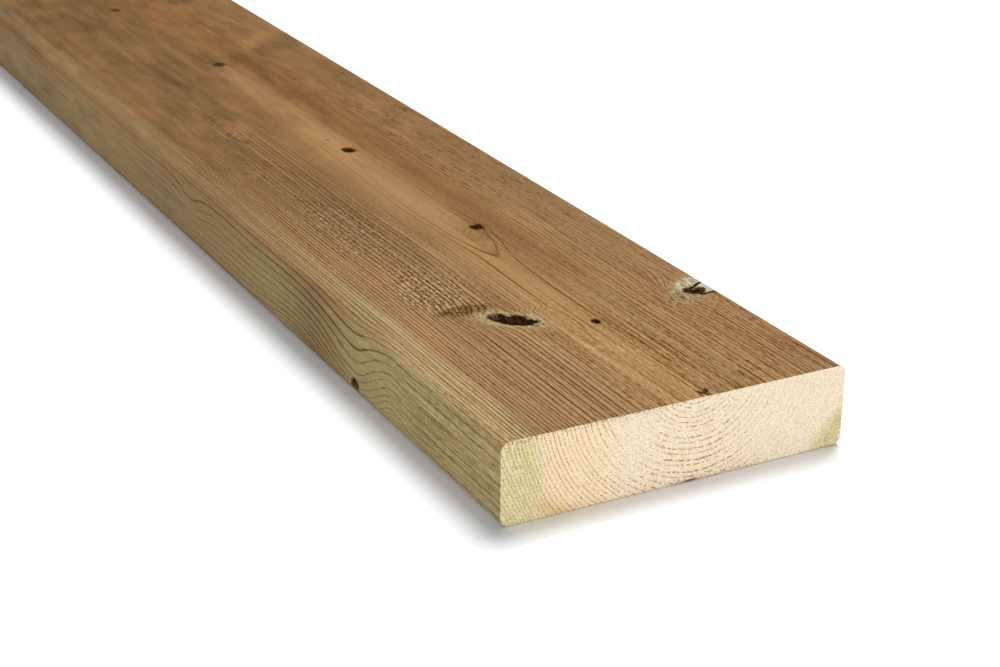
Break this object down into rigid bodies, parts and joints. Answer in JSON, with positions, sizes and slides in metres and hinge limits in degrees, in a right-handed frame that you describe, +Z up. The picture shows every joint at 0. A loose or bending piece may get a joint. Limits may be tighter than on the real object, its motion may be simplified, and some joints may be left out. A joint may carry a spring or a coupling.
{
  "type": "timber plank",
  "caption": "Planed, treated softwood plank with rounded long arrises, knots in its upper face and square fresh-cut ends.",
  "frame": {"origin": "middle of the wide face that the plank lies on", "axes": "+X along the plank towards its pictured, fresh-cut end, +Y across its width, +Z up"},
  "size_m": [2.4, 0.2, 0.045],
  "materials": {
    "treated_softwood": "planed long faces of brown and olive treated softwood, pale fresh-cut ends"
  },
  "bodies": {
    "root": {"plank": "treated_softwood"}
  },
  "joints": []
}
